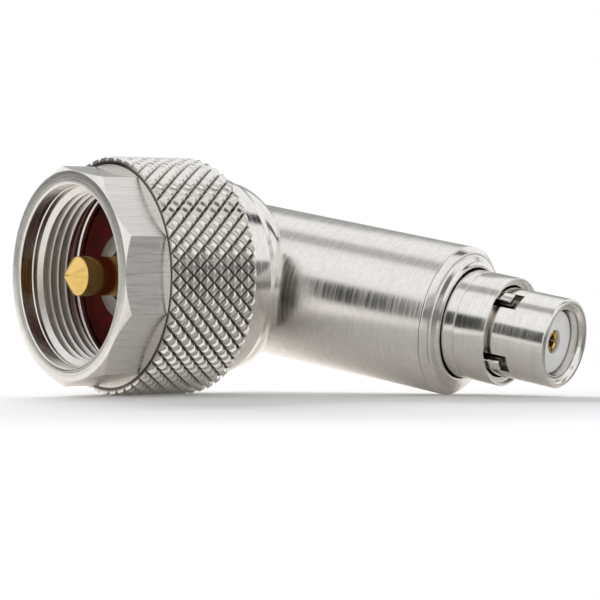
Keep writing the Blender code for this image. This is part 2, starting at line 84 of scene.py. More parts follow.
# %% The two arms as matrices
MM = 0.001
JOINTS = {joint["name"]: joint for joint in frame["joints"]}
ELBOW = Vector(JOINTS["nut_spin"]["pos_m"])
PLUG_WAY = Vector(JOINTS["nut_spin"]["axis"]).normalized()
SOCKET_WAY = Vector(JOINTS["collar_slide"]["axis"]).normalized()


def arm_matrix(way):
    """Local Z runs out along the arm, local X points up."""
    across = way.cross(Vector((0, 0, 1))).normalized()
    upward = across.cross(way)
    matrix = Matrix((upward, across, way)).transposed().to_4x4()
    matrix.translation = ELBOW
    return matrix


PLUG = arm_matrix(PLUG_WAY)
SOCKET = arm_matrix(SOCKET_WAY)
PLUG_REACH = ELBOW.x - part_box("coupling_nut")[0][0]


def at_depth(depth):
    """Station of a depth behind the nut's front plane."""
    return PLUG_REACH - depth


print("plug reach %.1f mm, socket arm droops %.1f mm per 10 mm"
      % (PLUG_REACH / MM, -10 * SOCKET_WAY.z))

# %% [markdown]
# ## A small language for nodes
# Node trees are quicker to read as formulas. `Wire` wraps an output socket and lets Python's
# operators add Math nodes. `Nodes` adds any node: its settings first, then its inputs.

# %% Wires and nodes
class Wire:
    """An output socket that Python's operators can do maths with."""

    def __init__(self, nodes, socket):
        self.nodes = nodes
        self.socket = socket

    def other(self, name):
        """Another output of the same node."""
        return Wire(self.nodes, self.socket.node.outputs[name])

    def __add__(self, value):
        return self.nodes.math("ADD", self, value)

    def __sub__(self, value):
        return self.nodes.math("SUBTRACT", self, value)

    def __rsub__(self, value):
        return self.nodes.math("SUBTRACT", value, self)

    def __mul__(self, value):
        return self.nodes.math("MULTIPLY", self, value)

    def __truediv__(self, value):
        return self.nodes.math("DIVIDE", self, value)

    def __pow__(self, value):
        return self.nodes.math("POWER", self, value)

    __radd__ = __add__
    __rmul__ = __mul__


class Nodes:
    """Adds nodes to one tree."""

    def __init__(self, tree):
        self.tree = tree

    def link(self, value, socket):
        if isinstance(value, Wire):
            self.tree.links.new(value.socket, socket)
        else:
            socket.default_value = value

    def add(self, kind, settings=None, inputs=None, output=0):
        node = self.tree.nodes.new(kind)
        for name, value in (settings or {}).items():
            setattr(node, name, value)
        for key, value in (inputs or {}).items():
            self.link(value, node.inputs[key])
        return Wire(self, node.outputs[output])

    def math(self, operation, *values):
        """A Math node on wires and numbers."""
        return self.add("ShaderNodeMath", {"operation": operation}, dict(enumerate(values)))

    def length(self, x, y):
        """The distance from the axis."""
        return (x ** 2.0 + y ** 2.0) ** 0.5

    def split(self, vector):
        """The X, Y and Z of a vector."""
        part = self.add("ShaderNodeSeparateXYZ", {}, {0: vector})
        return part, part.other("Y"), part.other("Z")

    def join(self, x, y, z):
        return self.add("ShaderNodeCombineXYZ", {}, {"X": x, "Y": y, "Z": z})

    def ramp(self, value, start, end, low=0.0, high=1.0):
        """A soft step from low to high while the value goes from start to end."""
        return self.add("ShaderNodeMapRange", {"interpolation_type": "SMOOTHSTEP"},
                        {"Value": value, "From Min": start, "From Max": end,
                         "To Min": low, "To Max": high})

    def noise(self, vector, detail=2.0, rough=0.5):
        return self.add("ShaderNodeTexNoise", {},
                        {"Vector": vector, "Scale": 1.0, "Detail": detail, "Roughness": rough})

    def mix(self, factor, first, second):
        """Blend two colours."""
        node = self.add("ShaderNodeMix", {"data_type": "RGBA"}, {"Factor": factor},
                        output="Result").socket.node
        self.link(first, node.inputs["A"])
        self.link(second, node.inputs["B"])
        return Wire(self, next(end for end in node.outputs if end.type == "RGBA"))


def shade(name):
    """A new material, its nodes and its Principled shader."""
    made = bpy.data.materials.new(name)
    made.use_nodes = True
    return made, Nodes(made.node_tree), made.node_tree.nodes["Principled BSDF"]


print("node helpers ready")

# %% [markdown]
# ## Turned metal
# A lathe tool leaves fine rings on everything it cuts: lines round a barrel, circles on a
# face. Noise that runs slowly round the axis and quickly along and across it gives both. The
# pattern is centred on the arm by a Mapping node, in millimetres. A noise keeps near its
# middle, so two spans say which part of it becomes colour and which becomes roughness.

# %% Brushed and turned finishes
NICKEL = (0.86, 0.84, 0.805, 1)
# Colour of the painted shade in the knurl's valleys and at its foot.
VALLEY_SHADE_COLOUR = (0.10, 0.09, 0.08, 1)
COLOUR_SPAN = (0.35, 0.65)
ROUGH_SPAN = (0.3, 0.7)
ROUND_AXIS = 0.12
FACE_LINES = 1.3


def darker(colour, share):
    """A colour with this share of its light taken away."""
    return tuple(part * (1 - share) for part in colour[:3]) + (1,)


def arm_coordinates(nodes, arm):
    """The object's coordinates seen from an arm, in millimetres."""
    inverse = arm.inverted()
    point = nodes.add("ShaderNodeTexCoord", output="Object")
    return nodes.add("ShaderNodeMapping", {"vector_type": "POINT"}, {
        "Vector": point,
        "Location": inverse.translation / MM,
        "Rotation": inverse.to_euler(),
        "Scale": (1 / MM, 1 / MM, 1 / MM),
    })


def ring_lines(nodes, arm, fine):
    """Noise drawn out round the arm, as a lathe or a brush leaves it."""
    x, y, z = nodes.split(arm_coordinates(nodes, arm))
    across = (z + nodes.length(x, y) * FACE_LINES) * fine
    return nodes.noise(nodes.join(x * ROUND_AXIS, y * ROUND_AXIS, across), 4.0, 0.6)


def bumped(nodes, shader, height, depth):
    """Feed a height from 0 to 1, worth this depth, to the shader's normal."""
    bump = nodes.add("ShaderNodeBump", {}, {"Strength": 1.0, "Distance": depth, "Height": height})
    nodes.link(bump, shader.inputs["Normal"])


def turned_metal(name, arm, colour, rough, spread, fine, depth, tint=0.12, valley_shade=None):
    """Metal with lines round its arm; valley_shade is the radii in mm over which a painted shade,
    darker nearer the axis, fades out.
    """
    made, nodes, shader = shade(name)
    lines = ring_lines(nodes, arm, fine)
    stain = nodes.noise(arm_coordinates(nodes, arm), 3.0)
    tone = lines * 0.6 + stain * 0.4
    tinted = nodes.mix(nodes.ramp(tone, *COLOUR_SPAN), darker(colour, tint), colour)
    # Painted shade: darker nearer the axis, in the knurl's valleys and at its foot.
    if valley_shade:
        x, y, _ = nodes.split(arm_coordinates(nodes, arm))
        tinted = nodes.mix(nodes.ramp(nodes.length(x, y), *valley_shade), VALLEY_SHADE_COLOUR, tinted)
    nodes.link(tinted, shader.inputs["Base Color"])
    nodes.link(nodes.ramp(lines, *ROUGH_SPAN, rough - spread, rough + spread),
               shader.inputs["Roughness"])
    shader.inputs["Metallic"].default_value = 1.0
    bumped(nodes, shader, lines, depth)
    return made


# Name, arm, colour, roughness and its spread, lines per millimetre and their depth.
NUT_METAL = turned_metal("turned_nickel_nut", PLUG, NICKEL, 0.18, 0.05, 2.2, 0.016 * MM)
# The knurl's finish paints shade into its valleys and into the ring at its foot.
KNURL_METAL = turned_metal("rolled_nickel_knurl", PLUG, NICKEL, 0.16, 0.05, 1.0, 0.010 * MM,
                           valley_shade=(18.45, 18.95))
COLLAR_METAL = turned_metal("polished_nickel_plug_arm", PLUG, NICKEL, 0.14, 0.05, 2.4, 0.010 * MM)
BARREL_METAL = turned_metal("satin_nickel_barrel", SOCKET, NICKEL, 0.22, 0.05, 2.6, 0.012 * MM)
SOCKET_METAL = turned_metal("polished_nickel_socket", SOCKET, NICKEL, 0.16, 0.03, 2.4, 0.005 * MM)
THREAD_METAL = turned_metal("cut_nickel_thread", PLUG, NICKEL, 0.34, 0.05, 1.6, 0.008 * MM)
print("metals:", NUT_METAL.name, BARREL_METAL.name, SOCKET_METAL.name)

# %% [markdown]
# ## Flats, gold, rubber and insulator
# The nut's flats were milled and brushed lengthwise, so their lines run along the arm. The
# contacts are plated with gold that is a little browner in bands. The gasket is dark red
# rubber, and the insulator is milky, slightly waxy plastic.

# %% The other finishes
BRUSH_ACROSS = 3.2
BRUSH_ALONG = 0.10
GRAIN = 9.0
GRAIN_SPREAD = 0.05


def flat_metal(name, arm, colour, smoothest, roughest, depth):
    """Metal brushed along its arm."""
    made, nodes, shader = shade(name)
    x, y, z = nodes.split(arm_coordinates(nodes, arm))
    across = nodes.join(x * BRUSH_ACROSS, y * BRUSH_ACROSS, z * BRUSH_ALONG)
    lines = nodes.noise(across, 4.0, 0.62)
    tinted = nodes.mix(nodes.ramp(lines, *COLOUR_SPAN), darker(colour, 0.12), colour)
    nodes.link(tinted, shader.inputs["Base Color"])
    nodes.link(nodes.ramp(lines, *ROUGH_SPAN, smoothest, roughest), shader.inputs["Roughness"])
    shader.inputs["Metallic"].default_value = 1.0
    bumped(nodes, shader, lines, depth)
    return made


def mottled(name, arm, light, dark, rough, scale, depth, metallic=0.0):
    """A finish that wanders between two colours, with a fine grain."""
    made, nodes, shader = shade(name)
    x, y, z = nodes.split(arm_coordinates(nodes, arm))
    coarse = nodes.noise(nodes.join(x * scale, y * scale, z * scale), 3.0)
    grain = nodes.noise(nodes.join(x * GRAIN, y * GRAIN, z * GRAIN), 2.0)
    tinted = nodes.mix(nodes.ramp(coarse, *COLOUR_SPAN), dark, light)
    nodes.link(tinted, shader.inputs["Base Color"])
    nodes.link(nodes.ramp(grain, *ROUGH_SPAN, rough - GRAIN_SPREAD, rough + GRAIN_SPREAD),
               shader.inputs["Roughness"])
    shader.inputs["Metallic"].default_value = metallic
    shader.inputs["Specular IOR Level"].default_value = 0.25
    bumped(nodes, shader, grain, depth)
    return made


FLAT_METAL = flat_metal("brushed_nickel_flats", PLUG, NICKEL, 0.25, 0.36, 0.014 * MM)
GOLD = (0.90, 0.62, 0.20, 1)
PIN_GOLD = turned_metal("gold_plug_pin", PLUG, GOLD, 0.19, 0.04, 1.2, 0.003 * MM, tint=0.15)
SOCKET_GOLD = turned_metal("gold_socket_arm", SOCKET, GOLD, 0.18, 0.05, 2.0, 0.006 * MM, tint=0.25)
CONTACT_GREY = turned_metal("dull_plug_contact", PLUG, (0.30, 0.28, 0.25, 1), 0.3, 0.06, 2.0,
                            0.012 * MM)
CAP_METAL = turned_metal("satin_nickel_cap", SOCKET, NICKEL, 0.26, 0.06, 1.6, 0.025 * MM)

# Name, arm, light and dark colour, roughness, spots per millimetre and depth of the grain.
SPRING_METAL = mottled("spring_steel", PLUG, (0.52, 0.52, 0.53, 1), (0.38, 0.38, 0.40, 1), 0.3,
                       0.6, 0.003 * MM, 1.0)
RED_RUBBER = mottled("dark_red_rubber", PLUG, (0.11, 0.006, 0.004, 1), (0.07, 0.004, 0.003, 1),
                     0.75, 0.5, 0.006 * MM)
BLACK_RUBBER = mottled("black_rubber", SOCKET, (0.03, 0.03, 0.03, 1), (0.015, 0.015, 0.015, 1),
                       0.6, 0.8, 0.010 * MM)
WHITE_PLASTIC = mottled("white_insulator", SOCKET, (0.94, 0.94, 0.93, 1), (0.88, 0.88, 0.87, 1),
                        0.35, 0.4, 0.004 * MM)
print("finishes ready:", len(bpy.data.materials))

# %% [markdown]
# ## Turning a piece
# Each turned piece is a closed outline of (radius, station) points. Real edges are never
# knife sharp, and it is the tiny rounding that catches the light, so `eased` replaces each
# corner by a short curve before the outline is spun.

# %% Outline helpers
TINY = 1e-7
NEARLY_STRAIGHT = radians(168)
EDGE_SHARE = 0.4
SHARP = radians(34)


def eased(outline, radius, steps=3):
    """Round the corners of a closed outline, less where an edge is short."""
    points = [Vector(point) for point in outline]
    result = []
    for before, here, after in zip(points[-1:] + points[:-1], points, points[1:] + points[:1]):
        first, second = before - here, after - here
        cut = min(radius, EDGE_SHARE * first.length, EDGE_SHARE * second.length)
        if here.x < TINY or first.angle(second) > NEARLY_STRAIGHT:
            result.append(here)
            continue
        start, end = here + first.normalized() * cut, here + second.normalized() * cut
        for step in range(steps + 1):
            t = step / steps
            result.append(start * (1 - t) ** 2 + here * 2 * t * (1 - t) + end * t ** 2)
    return result


def finished(name, bm, material):
    """Turn a bmesh into a smooth-shaded object at the origin."""
    bmesh.ops.recalc_face_normals(bm, faces=bm.faces)
    mesh = bpy.data.meshes.new(name)
    bm.to_mesh(mesh)
    bm.free()
    mesh.materials.append(material)
    mesh.shade_smooth()
    mesh.set_sharp_from_angle(angle=SHARP)
    thing = bpy.data.objects.new(name, mesh)
    bpy.context.scene.collection.objects.link(thing)
    return thing


def spun(points, segments):
    """A closed outline of (radius, station) points turned about Z."""
    bm = bmesh.new()
    ring = [bm.verts.new((radius, 0, station)) for radius, station in points]
    edges = [bm.edges.new(pair) for pair in zip(ring, ring[1:] + ring[:1])]
    bmesh.ops.spin(bm, geom=ring + edges, cent=(0, 0, 0), axis=(0, 0, 1),
                   angle=2 * pi, steps=segments, use_merge=True)
    bmesh.ops.remove_doubles(bm, verts=bm.verts, dist=TINY)
    loose = [edge for edge in bm.edges if not edge.link_faces]
    bmesh.ops.delete(bm, geom=loose, context="EDGES")
    return bm


def turned(name, outline, arm, material, ease=0.1 * MM, segments=192):
    """A finished piece turned on one arm."""
    points = eased(outline, ease) if ease else outline
    bm = spun(points, segments)
    bmesh.ops.transform(bm, matrix=arm, verts=bm.verts)
    return finished(name, bm, material)


def tube(inner, outer, start, end):
    """The outline of a plain ring or sleeve."""
    return [(inner, start), (inner, end), (outer, end), (outer, start)]


def plain(thing):
    """Replace an object's modifiers by the mesh that they make."""
    graph = bpy.context.evaluated_depsgraph_get()
    mesh = bpy.data.meshes.new_from_object(thing.evaluated_get(graph), depsgraph=graph)
    thing.modifiers.clear()
    thing.data = mesh
    return thing


def combine(thing, tool, operation):
    """Join a helper shape to a piece or cut it away, then drop the helper."""
    step = thing.modifiers.new(operation.lower(), "BOOLEAN")
    step.operation = operation
    step.solver = "EXACT"
    step.material_mode = "TRANSFER"
    step.object = tool
    plain(thing)
    bpy.data.objects.remove(tool, do_unlink=True)
    thing.data.set_sharp_from_angle(angle=SHARP)
    return thing


def block(name, size, centre, arm, turn, material):
    """A small block with its radial side along X, turned about the arm."""
    bm = bmesh.new()
    bmesh.ops.create_cube(bm, size=1)
    bmesh.ops.scale(bm, vec=size, verts=bm.verts)
    bmesh.ops.translate(bm, vec=centre, verts=bm.verts)
    bmesh.ops.rotate(bm, matrix=Matrix.Rotation(turn, 3, "Z"), verts=bm.verts)
    bmesh.ops.transform(bm, matrix=arm, verts=bm.verts)
    return finished(name, bm, material)


def settle(piece, body, slot, *nodes):
    """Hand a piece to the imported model: which body moves it and which nodes it stands for."""
    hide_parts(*nodes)
    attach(piece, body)
    print("%-22s %6d faces" % (piece.name, len(piece.data.polygons)))


print("turning helpers ready")

# %% [markdown]
# ## The coupling nut's core
# The nut is bar stock turned inside and out, then milled with nine flats for a wrench. The
# chamfer in front is turned before the flats are milled, which gives each flat its curved
# front edge. Here the flats are cut by a nine-sided tube, as a milling head would.

# %% Turn the nut and mill its flats
FLAT_COUNT = 9
FLAT_APOTHEM = 17.0 * MM
FLAT_CORNER = 18.1 * MM
FLAT_END = 7.7 * MM
LEDGE_END = FLAT_END + 0.4 * MM
NUT_END = 23.6 * MM
CORE_END = NUT_END - MM
THREAD_ROOT = 14.6 * MM
RUN_OUT_R = THREAD_ROOT + 0.25 * MM
MOUTH_R = 14.75 * MM
MOUTH_CHAMFER = 0.2 * MM
CUTTER_R = 24 * MM

nut_outline = [
    (FLAT_APOTHEM, at_depth(0)),
    (FLAT_CORNER, at_depth(FLAT_CORNER - FLAT_APOTHEM)),
    (FLAT_CORNER, at_depth(LEDGE_END)),
    (FLAT_APOTHEM, at_depth(LEDGE_END)),
    (FLAT_APOTHEM, at_depth(CORE_END)),
    (THREAD_ROOT, at_depth(CORE_END)),
    (THREAD_ROOT, at_depth(11.2 * MM)),
    (RUN_OUT_R, at_depth(11.0 * MM)),
    (RUN_OUT_R, at_depth(10.5 * MM)),
    (THREAD_ROOT, at_depth(10.3 * MM)),
    (THREAD_ROOT, at_depth(2.5 * MM)),
    (MOUTH_R, at_depth(2.4 * MM)),
    (MOUTH_R, at_depth(MOUTH_CHAMFER)),
    (MOUTH_R + MOUTH_CHAMFER, at_depth(0)),
]
nut = turned("coupling_nut_dressed", nut_outline, PLUG, NUT_METAL, 0.08 * MM, 180)

flat_outline = tube(FLAT_CORNER, CUTTER_R, at_depth(FLAT_END), at_depth(-MM))
flats = turned("flats_cutter", flat_outline, PLUG, FLAT_METAL, 0, FLAT_COUNT)
flats.data.transform(PLUG @ Matrix.Rotation(pi / 2, 4, "Z") @ PLUG.inverted())
combine(nut, flats, "DIFFERENCE")
print("nut core:", len(nut.data.polygons), "faces")

# %% [markdown]
# ## The knurl
# Knurling presses two crossed sets of grooves into the nut and leaves rows of little
# diamonds with blunt tops. One diamond is a four-sided cone without its tip, its sides bulged
# a little. Geometry Nodes put it on two grids, the second half a pitch aside, and roll the
# sheet round the nut. Diamonds that pass the ends of the band are cropped there, and a
# chamfer lowers them from the shoulder on.

# %% Build the knurl's tree
KNURL_R = 19.4 * MM
KNURL_DEPTH = 0.85 * MM
KNURL_COUNT = 50.0
KNURL_ROWS = 6.0
BLUNT_SHARE = 0.42
BULGE = 1.1
SHOULDER = 19.15 * MM
WELD = 0.003 * MM
CROP_SLACK = 0.05


def tree_input(tree, name, kind="NodeSocketFloat"):
    return tree.interface.new_socket(name, in_out="INPUT", socket_type=kind)


def new_tree(name, inputs):
    """A Geometry Nodes tree with float inputs and one geometry output."""
    tree = bpy.data.node_groups.new(name, "GeometryNodeTree")
    tree_input(tree, "Geometry", "NodeSocketGeometry")
    for entry in inputs:
        tree_input(tree, entry)
    tree.interface.new_socket("Geometry", in_out="OUTPUT", socket_type="NodeSocketGeometry")
    nodes = Nodes(tree)
    start = tree.nodes.new("NodeGroupInput")
    return tree, nodes, {entry: Wire(nodes, start.outputs[entry]) for entry in inputs}


def close_tree(tree, nodes, geometry, material):
    """Realize, set the material and send the geometry out."""
    real = nodes.add("GeometryNodeRealizeInstances", {}, {"Geometry": geometry})
    done = nodes.add("GeometryNodeSetMaterial", {}, {"Geometry": real, "Material": material})
    end = tree.nodes.new("NodeGroupOutput")
    nodes.link(done, end.inputs["Geometry"])


def knurl_tree(material):
    inputs = ["Radius", "Depth", "Count", "Rows", "Flat Share", "Start", "End", "Shoulder"]
    tree, nodes, size = new_tree("knurl_band", inputs)
    pitch = 2 * pi * size["Radius"] / size["Count"]
    row = (size["End"] - size["Start"]) / size["Rows"]
    cone = nodes.add("GeometryNodeMeshCone", {"fill_type": "NGON"}, {
        "Vertices": 4, "Side Segments": 3, "Radius Bottom": 0.5,
        "Radius Top": size["Flat Share"] * 0.5, "Depth": 1.0})
    open_cone = nodes.add("GeometryNodeDeleteGeometry", {"domain": "FACE"}, {
        "Geometry": cone, "Selection": cone.other("Bottom")})
    x, y, z = nodes.split(nodes.add("GeometryNodeInputPosition"))
    rounded = 1.0 - (1.0 - nodes.math("MAXIMUM", z, 0.0)) ** BULGE
    diamond = nodes.add("GeometryNodeSetPosition", {}, {
        "Geometry": open_cone,
        "Position": nodes.join(x * pitch, y * row, rounded * size["Depth"])})
    middle = (size["Start"] + size["End"]) * 0.5
    sheets = nodes.tree.nodes.new("GeometryNodeJoinGeometry")
    for shift in (0.0, 0.5):
        columns = size["Count"]
        rows = size["Rows"] + (1.0 - 2 * shift)
        grid = nodes.add("GeometryNodeMeshGrid", {}, {
            "Size X": pitch * (columns - 1.0), "Size Y": row * (rows - 1.0),
            "Vertices X": columns, "Vertices Y": rows})
        placed = nodes.add("GeometryNodeTransform", {}, {
            "Geometry": grid, "Translation": nodes.join(pitch * shift, middle, 0.0)})
        instances = nodes.add("GeometryNodeInstanceOnPoints", {}, {
            "Points": placed, "Instance": diamond})
        nodes.link(instances, sheets.inputs["Geometry"])
    sheet = nodes.add("GeometryNodeRealizeInstances", {}, {
        "Geometry": Wire(nodes, sheets.outputs[0])})
    u, v, height = nodes.split(nodes.add("GeometryNodeInputPosition"))
    half_band = (size["End"] - size["Start"]) * 0.5
    outside = nodes.math("GREATER_THAN", nodes.math("ABSOLUTE", v - middle),
                         half_band + row * CROP_SLACK)
    cropped = nodes.add("GeometryNodeDeleteGeometry", {"domain": "FACE"}, {
        "Geometry": sheet, "Selection": outside})
    station = nodes.add("ShaderNodeClamp", {}, {
        "Value": v, "Min": size["Start"], "Max": size["End"]})
    from_end = nodes.math("MINIMUM", station - size["Start"], size["End"] - station)
    full = size["Radius"] - size["Depth"] + height
    radius = nodes.math("MINIMUM", full, size["Shoulder"] + from_end)
    angle = u / size["Radius"]
    rolled = nodes.add("GeometryNodeSetPosition", {}, {
        "Geometry": cropped,
        "Position": nodes.join(radius * nodes.math("COSINE", angle),
                               radius * nodes.math("SINE", angle), station)})
    merged = nodes.add("GeometryNodeMergeByDistance", {}, {"Geometry": rolled, "Distance": WELD})
    close_tree(tree, nodes, merged, material)
    return tree


def grown(name, tree, values):
    """Run a tree on an empty object and keep the plain mesh."""
    thing = bpy.data.objects.new(name, bpy.data.meshes.new(name))
    bpy.context.scene.collection.objects.link(thing)
    step = thing.modifiers.new(name, "NODES")
    step.node_group = tree
    for item in tree.interface.items_tree:
        if item.in_out == "INPUT" and item.name in values:
            step[item.identifier] = values[item.name]
    return plain(thing)


knurl = grown("knurl_sheet", knurl_tree(KNURL_METAL), {
    "Radius": KNURL_R, "Depth": KNURL_DEPTH, "Count": KNURL_COUNT, "Rows": KNURL_ROWS,
    "Flat Share": BLUNT_SHARE, "Start": at_depth(NUT_END), "End": at_depth(FLAT_END),
    "Shoulder": SHOULDER})
print("knurl sheet:", len(knurl.data.polygons), "faces")

# %% [markdown]
# The sheet is only a skin. Its two open ends are drawn inwards and bridged, which makes it a
# closed ring that can be joined to the nut's core.

# %% Close the knurl and join it to the nut
RING_UNDER_KNURL = 16.4 * MM


def close_band(thing, inner, arm):
    """Turn an open band round Z into a closed ring and set it on its arm."""
    bm = bmesh.new()
    bm.from_mesh(thing.data)
    bmesh.ops.dissolve_degenerate(bm, dist=TINY, edges=bm.edges)
    rims = [edge for edge in bm.edges if edge.is_boundary]
    made = bmesh.ops.extrude_edge_only(bm, edges=rims)["geom"]
    for vert in (item for item in made if isinstance(item, bmesh.types.BMVert)):
        vert.co.xy *= inner / vert.co.xy.length
    inner_rims = [edge for edge in bm.edges if edge.is_boundary]
    bmesh.ops.bridge_loops(bm, edges=inner_rims)
    open_edges = sum(1 for edge in bm.edges if not edge.is_manifold)
    bmesh.ops.transform(bm, matrix=arm, verts=bm.verts)
    bmesh.ops.recalc_face_normals(bm, faces=bm.faces)
    bm.to_mesh(thing.data)
    bm.free()
    return open_edges


print("open edges in the knurl:", close_band(knurl, RING_UNDER_KNURL, PLUG))
combine(nut, knurl, "UNION")
print("nut with knurl:", len(nut.data.polygons), "faces")

# %% [markdown]
# ## The inner thread
# An inner thread is one long ridge that winds inwards from the wall. A spiral curve carries a
# trapezoid along, its broad side sunk a little in the wall. Both ends fade out, as a cut
# thread does where the tool enters and leaves.

# %% Wind the thread
THREAD_FRONT = 2.6 * MM
THREAD_BACK = 10.3 * MM
THREAD_SUNK = 0.06 * MM
THREAD_FADE_TURNS = 0.5
THREAD_SHARP = radians(30)


def thread_tree(material):
    inputs = ["Root", "Height", "Pitch", "Base Width", "Crest Width", "Start", "Length", "Fade"]
    tree, nodes, size = new_tree("inner_thread", inputs)
    turns = size["Length"] / size["Pitch"]
    spiral = nodes.add("GeometryNodeCurveSpiral", {}, {
        "Resolution": 96, "Rotations": turns, "Start Radius": size["Root"],
        "End Radius": size["Root"], "Height": size["Length"], "Reverse": True})
    upright = nodes.add("GeometryNodeSetCurveNormal", {"mode": "Z_UP"}, {"Curve": spiral})
    along = nodes.add("GeometryNodeSplineParameter")
    from_end = nodes.math("MINIMUM", along, 1.0 - along) * turns
    scale = nodes.ramp(from_end, 0.0, size["Fade"], 0.02, 1.0)
    profile = nodes.add("GeometryNodeCurvePrimitiveQuadrilateral", {"mode": "TRAPEZOID"}, {
        "Height": size["Height"], "Bottom Width": size["Base Width"],
        "Top Width": size["Crest Width"], "Offset": 0.0})
    inward = nodes.add("GeometryNodeTransform", {}, {
        "Geometry": profile, "Rotation": (0, 0, pi / 2),
        "Translation": nodes.join(size["Height"] * -0.5, 0.0, 0.0)})
    ridge = nodes.add("GeometryNodeCurveToMesh", {}, {
        "Curve": upright, "Profile Curve": inward, "Scale": scale, "Fill Caps": True})
    placed = nodes.add("GeometryNodeTransform", {}, {
        "Geometry": ridge, "Translation": nodes.join(0.0, 0.0, size["Start"])})
    close_tree(tree, nodes, placed, material)
    return tree


thread = grown("thread_ridge", thread_tree(THREAD_METAL), {
    "Root": THREAD_ROOT + THREAD_SUNK, "Height": 1.0 * MM, "Pitch": 1.5 * MM,
    "Base Width": 1.4 * MM, "Crest Width": 0.2 * MM, "Start": at_depth(THREAD_BACK),
    "Length": THREAD_BACK - THREAD_FRONT, "Fade": THREAD_FADE_TURNS})
crest = min(vert.co.xy.length for vert in thread.data.vertices)
print("thread crest radius %.2f mm" % (crest / MM), len(thread.data.polygons), "faces")


def absorb(thing, other, arm):
    """Add another closed shell, made on an arm, to a piece's mesh."""
    other.data.transform(arm)
    slots = thing.data.materials
    finish = other.data.materials[0]
    if finish.name not in slots:
        slots.append(finish)
    index = slots.find(finish.name)
    bm = bmesh.new()
    bm.from_mesh(thing.data)
    start = len(bm.faces)
    bm.from_mesh(other.data)
    bm.faces.ensure_lookup_table()
    added = bm.faces[start:]
    bmesh.ops.recalc_face_normals(bm, faces=added)
    for face in added:
        face.material_index = index
    bm.to_mesh(thing.data)
    bm.free()
    bpy.data.objects.remove(other, do_unlink=True)
    thing.data.shade_smooth()
    thing.data.set_sharp_from_angle(angle=THREAD_SHARP)


def crisp_borders(thing):
    """Shade no edge smooth that lies between two finishes."""
    bm = bmesh.new()
    bm.from_mesh(thing.data)
    for edge in bm.edges:
        if len({face.material_index for face in edge.link_faces}) > 1:
            edge.smooth = False
    bm.to_mesh(thing.data)
    bm.free()


absorb(nut, thread, PLUG)
crisp_borders(nut)
settle(nut, "coupling_nut_body", "nickel", "coupling_nut")

# %% [markdown]
# ## The plug's contact, gasket and insulator
# Inside the nut sits the contact ring, with a flat rubber gasket round it. The pin has a cone
# point so that it finds its hole, with its edge broken where the cone meets the shank.

# %% Pin, contact ring, gasket and insulator
PIN_R = 3.2 * MM
SHANK_R = 2.2 * MM
PIN_STEP = 10.5 * MM
PIN_BACK = 26 * MM
TUBE_R = 7.2 * MM
TUBE_BORE_R = 4.3 * MM
TUBE_FRONT = 10.4 * MM
TUBE_BACK = 22 * MM
GASKET_R = 14.3 * MM
GASKET_BORE_R = 7.5 * MM
GASKET_FRONT = 12.0 * MM
GASKET_BACK = 13.0 * MM

pin_outline = [
    (0, at_depth(PIN_BACK)),
    (0, at_depth(-0.4 * MM)),
    (0.45 * MM, at_depth(-0.3 * MM)),
    (2.9 * MM, at_depth(1.65 * MM)),
    (PIN_R, at_depth(1.85 * MM)),
    (PIN_R, at_depth(PIN_STEP)),
    (SHANK_R, at_depth(PIN_STEP)),
    (SHANK_R, at_depth(PIN_BACK)),
]
pin = turned("plug_pin_dressed", pin_outline, PLUG, PIN_GOLD, 0.15 * MM, 128)
settle(pin, "adapter_body", "gold", "plug_centre_pin")

contact_outline = tube(TUBE_BORE_R, TUBE_R, at_depth(TUBE_BACK), at_depth(TUBE_FRONT))
contact = turned("plug_contact_dressed", contact_outline, PLUG, CONTACT_GREY, 0.3 * MM, 128)
settle(contact, "adapter_body", "satin_nickel", "plug_outer_contact")

gasket_outline = tube(GASKET_BORE_R, GASKET_R, at_depth(GASKET_BACK), at_depth(GASKET_FRONT))
gasket = turned("plug_gasket_dressed", gasket_outline, PLUG, RED_RUBBER, 0.2 * MM, 160)
settle(gasket, "adapter_body", "red_seal", "plug_gasket")

sleeve_outline = tube(2.5 * MM, 4.0 * MM, at_depth(TUBE_BACK), at_depth(10.8 * MM))
sleeve = turned("plug_insulator_dressed", sleeve_outline, PLUG, WHITE_PLASTIC, 0.1 * MM, 96)
settle(sleeve, "adapter_body", "insulator", "plug_insulator")

# %% [markdown]
# ## The body
# The body is one machined piece. Its plug side is turned: a nose inside the nut, a collar
# behind it and a domed shoulder. The barrel crosses that shoulder and ends in a short stub.
# Two turned shapes joined by a Boolean give the sharp crease of the real piece, and two more
# are its bores.

# %% Turn and join the body
NOSE_R = 14.3 * MM
NOSE_FRONT = 13.3 * MM
COLLAR_R = 16.4 * MM
COLLAR_START = 23.9 * MM
COLLAR_END = 28.5 * MM
COLLAR_CHAMFER = 1.3 * MM
DOME_R = 15.7 * MM
DOME_LENGTH = 8.6 * MM
DOME_FLAT_R = 6.0 * MM
BARREL_R = 12.1 * MM
BARREL_END = 40.2 * MM
STUB_END = -12.5 * MM
STUB_CHAMFER = 0.6 * MM
COUNTERBORE_R = 11.1 * MM
COUNTERBORE_FLOOR = 34.6 * MM
PLUG_BORE_R = 5.85 * MM
BARREL_BORE_R = 6.0 * MM
CAP_R = 6.9 * MM
CAP_SEAT_R = 7.2 * MM
CAP_SEAT = -10.6 * MM
CAP_INNER = -10.9 * MM
CAP_OUTER = -13.1 * MM


def groove(floor, start, end):
    """Four points of a groove in the nose, from depth start to end."""
    return [(NOSE_R, at_depth(start)), (floor, at_depth(start)),
            (floor, at_depth(end)), (NOSE_R, at_depth(end))]


def dome_points(steps=24):
    """A quarter ellipse from the collar's chamfer towards the axis."""
    start = COLLAR_END + COLLAR_CHAMFER
    for step in range(steps + 1):
        angle = pi / 2 * (1 - step / steps)
        if DOME_R * sin(angle) >= DOME_FLAT_R:
            yield DOME_R * sin(angle), at_depth(start + DOME_LENGTH * cos(angle))


